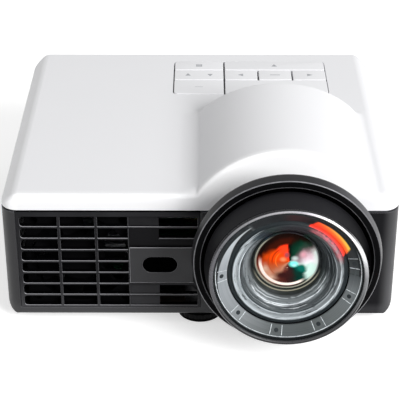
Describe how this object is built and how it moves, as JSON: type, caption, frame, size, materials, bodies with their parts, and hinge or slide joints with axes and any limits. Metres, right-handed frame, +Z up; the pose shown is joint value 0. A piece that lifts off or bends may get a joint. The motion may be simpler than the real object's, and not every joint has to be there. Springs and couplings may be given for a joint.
{
  "type": "projector",
  "caption": "Compact table projector with a forward short-throw lens under a rounded hood, a keypad on top, a vented case and a height-adjustable foot.",
  "frame": {"origin": "on the table, under the middle of the whole object's bounding box", "axes": "-Y towards the screen, out of the lens; +X to the side the lens is on, seen from the screen; +Z up"},
  "size_m": [0.112, 0.1234, 0.0573],
  "materials": {
    "cover_white": "satin, faintly textured",
    "key_white": "satin",
    "case_black": "fine moulded texture",
    "trim_black": "matte",
    "window_black": "polished",
    "window_red": "polished, dark red",
    "lens_black": "satin",
    "lens_grey": "semi-gloss",
    "scale_grey": "semi-gloss with printed ticks",
    "trim_silver": "polished",
    "clear_glass": "clear, coated",
    "coated_glass": "coated, red and green reflections",
    "dichroic_glass": "colour-selective coating",
    "screw_dark": "black oxide",
    "steel": "bright",
    "brass": "plain",
    "rubber": "matte",
    "wheel_black": "satin, knurled",
    "cast_alloy": "as cast",
    "sink_alloy": "extruded",
    "copper": "copper, plain",
    "board_green": "solder mask",
    "chip_ceramic": "ceramic",
    "parts_grey": "moulded",
    "fan_black": "moulded",
    "socket_black": "moulded",
    "socket_steel": "plated"
  },
  "bodies": {
    "housing": {"top_cover": "cover_white", "lower_case": "case_black", "front_grille": "case_black", "sensor_plate": "trim_black", "sensor_window": "window_black", "sensor_board": "board_green", "rear_panel": "case_black", "ir_window": "window_red", "case_screws": "screw_dark", "rear_feet": "rubber", "tripod_insert": "brass", "keypad_frame": "trim_black", "keypad_board": "board_green", "lens_horn": "lens_black", "lens_barrel": "lens_black", "lens_nose": "lens_black", "lens_trim_ring": "trim_silver", "lens_scale_ring": "scale_grey", "front_lens": "clear_glass", "lens_baffle": "lens_grey", "inner_lens": "coated_glass", "inner_lens_cell": "trim_black", "guide_rods": "steel", "focus_motor": "steel", "lens_mount": "cast_alloy", "engine_housing": "cast_alloy", "engine_lid": "cast_alloy", "dichroic_plates": "dichroic_glass", "relay_lenses": "clear_glass", "prism": "clear_glass", "mirror_chip": "chip_ceramic", "chip_board": "board_green", "chip_heat_sink": "sink_alloy", "led_modules": "copper", "heat_sink": "sink_alloy", "heat_pipes": "copper", "front_fan_frame": "fan_black", "side_fan_frame": "fan_black", "main_board": "board_green", "board_parts": "parts_grey", "board_screws": "steel", "dc_jack": "socket_black", "av_sockets": "socket_steel", "audio_jack": "socket_black", "speaker": "fan_black"},
    "menu_key": {"key_menu": "key_white"},
    "power_key": {"key_power": "key_white"},
    "up_key": {"key_up": "key_white"},
    "left_key": {"key_left": "key_white"},
    "enter_key": {"key_enter": "key_white"},
    "right_key": {"key_right": "key_white"},
    "down_key": {"key_down": "key_white"},
    "volume_key": {"key_volume": "key_white"},
    "foot": {"foot_pad": "rubber"},
    "foot_turner": {"foot_wheel": "wheel_black"},
    "focus_group": {"focus_carriage": "trim_black", "focus_lens": "clear_glass"},
    "focus_lead_screw": {"focus_screw": "steel"},
    "front_fan_impeller": {"front_fan_rotor": "fan_black"},
    "side_fan_impeller": {"side_fan_rotor": "fan_black"}
  },
  "joints": [
    {"name": "menu_press", "type": "slide", "parent": "housing", "child": "menu_key", "axis": [0, 0, -1], "range_m": [0, 0.0004], "stiffness_N_per_m": 600, "springref_m": -0.0004},
    {"name": "power_press", "type": "slide", "parent": "housing", "child": "power_key", "axis": [0, 0, -1], "range_m": [0, 0.0004], "stiffness_N_per_m": 600, "springref_m": -0.0004},
    {"name": "up_press", "type": "slide", "parent": "housing", "child": "up_key", "axis": [0, 0, -1], "range_m": [0, 0.0004], "stiffness_N_per_m": 600, "springref_m": -0.0004},
    {"name": "left_press", "type": "slide", "parent": "housing", "child": "left_key", "axis": [0, 0, -1], "range_m": [0, 0.0004], "stiffness_N_per_m": 600, "springref_m": -0.0004},
    {"name": "enter_press", "type": "slide", "parent": "housing", "child": "enter_key", "axis": [0, 0, -1], "range_m": [0, 0.0004], "stiffness_N_per_m": 600, "springref_m": -0.0004},
    {"name": "right_press", "type": "slide", "parent": "housing", "child": "right_key", "axis": [0, 0, -1], "range_m": [0, 0.0004], "stiffness_N_per_m": 600, "springref_m": -0.0004},
    {"name": "down_press", "type": "slide", "parent": "housing", "child": "down_key", "axis": [0, 0, -1], "range_m": [0, 0.0004], "stiffness_N_per_m": 600, "springref_m": -0.0004},
    {"name": "volume_rock", "type": "hinge", "parent": "housing", "child": "volume_key", "pos_m": [-0.0006, 0.04415, 0.04065], "axis": [0, 1, 0], "range_deg": [-3.2, 3.2], "stiffness_Nm_per_rad": 0.03},
    {"name": "foot_lift", "type": "slide", "parent": "housing", "child": "foot", "axis": [0, 0, -1], "range_m": [0, 0.006]},
    {"name": "foot_turn", "type": "hinge", "parent": "foot", "child": "foot_turner", "pos_m": [0, -0.02925, 0.002], "axis": [0, 0, -1], "range_deg": [0, 2160]},
    {"name": "focus_slide", "type": "slide", "parent": "housing", "child": "focus_group", "axis": [0, -1, 0], "range_m": [-0.0015, 0.0015]},
    {"name": "focus_turn", "type": "hinge", "parent": "housing", "child": "focus_lead_screw", "pos_m": [0.00858, -0.01625, 0.02265], "axis": [0, -1, 0], "range_deg": [-1080, 1080]},
    {"name": "front_fan_spin", "type": "hinge", "parent": "housing", "child": "front_fan_impeller", "pos_m": [-0.0345, -0.02985, 0.0206], "axis": [0, -1, 0], "continuous": true},
    {"name": "side_fan_spin", "type": "hinge", "parent": "housing", "child": "side_fan_impeller", "pos_m": [0.0486, 0.001, 0.0212], "axis": [1, 0, 0], "continuous": true}
  ],
  "couplings": [
    {"joint": "foot_turn", "follows": "foot_lift", "rad_per_m": 6283},
    {"joint": "focus_turn", "follows": "focus_slide", "rad_per_m": 12566}
  ]
}
